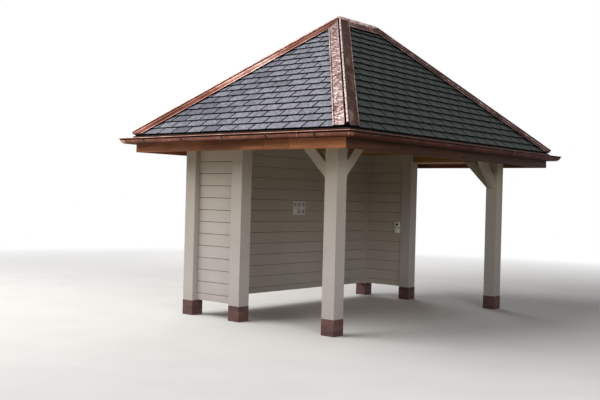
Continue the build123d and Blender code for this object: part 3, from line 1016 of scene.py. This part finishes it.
def lay_bricks(name, rng):
    """A square brick pier: each course two bricks, turned on the next."""
    low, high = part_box(name)
    bricks = Shape()
    bed = Shape()
    courses = round((high.z - low.z) / (BRICK_HEIGHT + MORTAR))
    rise = (high.z - low.z) / courses
    for course in range(courses):
        bottom = low.z + course * rise + (MORTAR / 2 if course else 0)
        top = low.z + (course + 1) * rise - (MORTAR / 2 if course < courses - 1 else 0)
        split = course % 2
        middle = (low[split] + high[split]) / 2
        for start, end in ((low[split], middle - MORTAR / 2), (middle + MORTAR / 2, high[split])):
            near = [low.x, low.y, bottom]
            far = [high.x, high.y, top]
            near[split], far[split] = start, end
            slip = rng.uniform(0, BRICK_SLIP)
            near[0] += slip
            far[1] -= slip
            bricks.box(near, far, rng.random())
    recess = Vector((MORTAR_RECESS, MORTAR_RECESS, 0))
    bed.box(low + recess, high - recess)
    bricks.build(f"{name}_bricks", BRICK, "brick", name, bevel=0.0025)
    bed.build(f"{name}_mortar", MORTAR_LOOK, "brick", name, bevel=0.001)


for number, place in enumerate(sorted(n for n in NODES if n.startswith("plinth_"))):
    lay_bricks(place, random.Random(60 + number))


# Cedar under the roof


def level_board(shape, plan, low, high, tone):
    """A board that shows from below, between the heights of two corners and over a plan of points."""
    front, back = [[Vector((p[0], p[1], z)) for p in plan] for z in (low.z, high.z)]
    shape.block(front, back, BOARD_EASE, tone)


def soffit_boards(side, rng):
    """Mitred boards under the eaves of one side."""
    run, face = run_and_face(side)
    low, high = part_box(f"soffit_{side}")
    width = (FASCIA_OUT - FASCIA_THICKNESS - SOFFIT_INNER) / SOFFIT_ROWS
    offsets = [SOFFIT_INNER + width * k for k in range(SOFFIT_ROWS + 1)]
    shape = Shape()
    for inner, outer in zip(offsets, offsets[1:]):
        corners = [(-run - inner, inner), (run + inner, inner), (run + outer, outer), (-run - outer, outer)]
        plan = [turned(side, x, -face - offset, 0) for x, offset in corners]
        level_board(shape, plan, low, high, rng.uniform(-0.3, 0.4))
    return shape


def upright_ring(side, outer, thickness, low, high, joints, tones, ease):
    """Upright boards or sheets of one side, mitred at the corners, with butt joints along the run."""
    run, face = run_and_face(side)
    shape = Shape()
    for start, stop, tone in zip([None, *joints], [*joints, None], tones):
        rings = []
        for offset in (outer, outer - thickness):
            left = -run - offset if start is None else start + BUTT_GAP
            right = run + offset if stop is None else stop - BUTT_GAP
            corners = [(left, low), (right, low), (right, high), (left, high)]
            rings.append([turned(side, x, -face - offset, z) for x, z in corners])
        shape.block(*rings, ease, tone)
    return shape


def dress(node, look):
    """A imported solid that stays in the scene, in its own look."""
    materials = NODES[node].data.materials
    materials.clear()
    materials.append(look)


rng = random.Random(70)
for side in SIDES:
    fascia_look, ceiling_look = (FASCIA_X, CEILING_X) if is_long(side) else (FASCIA_Y, CEILING_Y)
    low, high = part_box(f"fascia_{side}")
    boards = upright_ring(side, FASCIA_OUT, FASCIA_THICKNESS, low.z, high.z - FASCIA_HEADROOM,
                          FASCIA_JOINTS[side], FASCIA_TONES_AND_SHADE[side], ease=0.003)
    boards.build(f"fascia_boards_{side}", fascia_look, "stained_wood", f"fascia_{side}")
    drip = upright_ring(side, DRIP_OUT, DRIP_SHEET, DRIP_LOW, DRIP_HIGH, [], [0.45], ease=0.0004)
    drip.build(f"drip_edge_{side}", SHADED_DRIP_METAL, "copper")
    soffit_boards(side, rng).build(f"soffit_boards_{side}", ceiling_look, "stained_wood", f"soffit_{side}")
    dress(f"beam_{side}", ceiling_look)


def ceiling_boards(rng):
    """Level boards along the shelter's length."""
    low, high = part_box("ceiling")
    rows = round((high.y - low.y) / CEILING_BOARD)
    shape = Shape()
    for row in range(rows):
        near = low.y + (high.y - low.y) * row / rows
        far = low.y + (high.y - low.y) * (row + 1) / rows
        joint = low.x + (high.x - low.x) * (0.35 + 0.3 * (row % 2)) + rng.uniform(-0.2, 0.2)
        for start, stop in ((low.x, joint - CEILING_GAP), (joint + CEILING_GAP, high.x)):
            plan = [(start, far), (stop, far), (stop, near), (start, near)]
            level_board(shape, plan, low, high, rng.uniform(0.0, 0.5))
    return shape


ceiling_boards(random.Random(80)).build("ceiling_boards", CEILING_X, "stained_wood", "ceiling")

for name in NODES:
    if name.startswith(("post_", "brace_")):
        dress(name, PAINT_UP)


# Things fixed to the inner walls


def notices(rng):
    """Small sheets in rows on the back wall, all but the first with a plain patch."""
    sheets = Shape()
    patches = Shape()
    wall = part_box("back_wall")[0].y
    pitch_x = (NOTICE_RIGHT - NOTICE_LEFT) / NOTICE_COLUMNS
    pitch_z = (NOTICE_HIGH - NOTICE_LOW) / NOTICE_ROWS
    for column in range(NOTICE_COLUMNS):
        for row in range(NOTICE_ROWS):
            left = NOTICE_LEFT + column * pitch_x + rng.uniform(0.002, 0.008)
            low = NOTICE_LOW + row * pitch_z + rng.uniform(0.002, 0.006)
            right = left + pitch_x - 0.010
            high = low + pitch_z - 0.008
            sheets.box((left, wall - NOTICE_SHEET, low), (right, wall, high), rng.random())
            if column + row > 0:
                (x, far_x), (z, far_z) = PATCH_X, PATCH_Z
                patches.box((left + x * pitch_x, wall - PATCH_FACE, low + z * pitch_z),
                            (left + far_x * pitch_x, wall - PATCH_BACK, low + far_z * pitch_z))
    sheets.build("notices", NOTICE, "painted_wood", bevel=0.0004)
    patches.build("notice_patches", NOTICE_MARK, "painted_wood", bevel=0.0002)


def outlets():
    """Two outlet boxes, one above the other, on the right wing's inner face."""
    boxes = Shape()
    covers = Shape()
    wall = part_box("right_wing_wall")[0].x
    face = wall - OUTLET_DEPTH
    for (low, high), radius, target in zip(OUTLET_Z, OUTLET_RADII, (covers, boxes)):
        boxes.box((face, OUTLET_Y[0], low), (wall, OUTLET_Y[1], high))
        middle = Vector((face, sum(OUTLET_Y) / 2, (low + high) / 2))
        rings = [[middle + Vector((-depth, a, b)) for a, b in circle(20, share * radius)]
                 for depth, share in OUTLET_DISC]
        target.sweep(rings)
    boxes.build("outlet_boxes", OUTLET, "painted_wood", bevel=0.002)
    covers.build("outlet_cover", OUTLET_HOLE, "painted_wood")


notices(random.Random(77))
outlets()


# Camera, floor and lights


def make_camera():
    """The camera at the photograph's viewpoint."""
    data = bpy.data.cameras.new("camera")
    data.sensor_fit = "HORIZONTAL"
    data.sensor_width = SENSOR_WIDTH
    data.lens = CAMERA_LENS
    data.clip_end = 200
    camera = added("camera", data)
    turns = ((CAMERA_YAW - math.pi / 2, "Z"), (CAMERA_PITCH + math.pi / 2, "X"), (CAMERA_ROLL, "Z"))
    camera.matrix_world = Matrix.Translation(CAMERA_PLACE)
    for angle, axis in turns:
        camera.matrix_world @= Matrix.Rotation(angle, 4, axis)
    bpy.context.scene.camera = camera


def background_rays(graph):
    """One for rays that show the background: to the camera, and in metal and glass."""
    path = graph.node("LightPath", {})
    seen = graph.math("MAXIMUM", path.outputs["Is Camera Ray"], path.outputs["Is Glossy Ray"])
    return graph.math("MAXIMUM", seen, path.outputs["Is Transmission Ray"])


def make_floor():
    """A wide pale floor that fades into the white around it."""
    mesh = bpy.data.meshes.new("floor")
    corners = [(x * FLOOR_HALF, y * FLOOR_HALF, 0) for x, y in ((-1, -1), (1, -1), (1, 1), (-1, 1))]
    mesh.from_pydata(corners, [], [(0, 1, 2, 3)])
    g = Graph("floor")
    speckle = g.noise(1.2, detail=3.0)
    seen = background_rays(g)
    pale = g.ramp(speckle, [(0.35, (219, 218, 216)), (0.65, (223, 222, 220))])
    colour = g.mix(seen, (200, 198, 194), pale)
    diffuse = g.node("BsdfDiffuse", {"Color": colour}).outputs["BSDF"]
    white = g.node("Emission", {"Color": (1, 1, 1, 1), "Strength": 1.0}).outputs["Emission"]
    level = g.node("VectorMath", {0: g.place()}, operation="LENGTH").outputs["Value"]
    share = g.math("MULTIPLY", g.map(level, *FLOOR_FADE), seen)
    mixed = g.node("MixShader", {0: share, 1: diffuse, 2: white}).outputs[0]
    g.node("OutputMaterial", {"Surface": mixed})
    mesh.materials.append(g.owner)
    added("floor", mesh)


def make_world():
    """White where the camera and reflections see it, and a soft even light everywhere else."""
    g = Graph("studio", bpy.data.worlds)
    bpy.context.scene.world = g.owner
    light = g.node("Background", {"Color": WORLD_COLOUR, "Strength": WORLD_LIGHT}).outputs[0]
    white = g.node("Background", {"Color": (1, 1, 1, 1), "Strength": 1.0}).outputs[0]
    mixed = g.node("MixShader", {0: background_rays(g), 1: light, 2: white}).outputs[0]
    g.node("OutputWorld", {"Surface": mixed})


def make_lamp(name, place, aim, size, power, colour):
    """A large soft lamp, which the camera doesn't see."""
    data = bpy.data.lights.new(name, "AREA")
    data.shape = "SQUARE"
    data.size = size
    data.energy = power
    data.color = colour
    lamp = added(name, data)
    lamp.location = place
    lamp.rotation_euler = (Vector(aim) - Vector(place)).to_track_quat("-Z", "Y").to_euler()
    lamp.visible_camera = False


make_camera()
make_floor()
make_world()
for name, settings in LAMPS.items():
    make_lamp(name, *settings)
bpy.context.scene.view_settings.view_transform = "Standard"
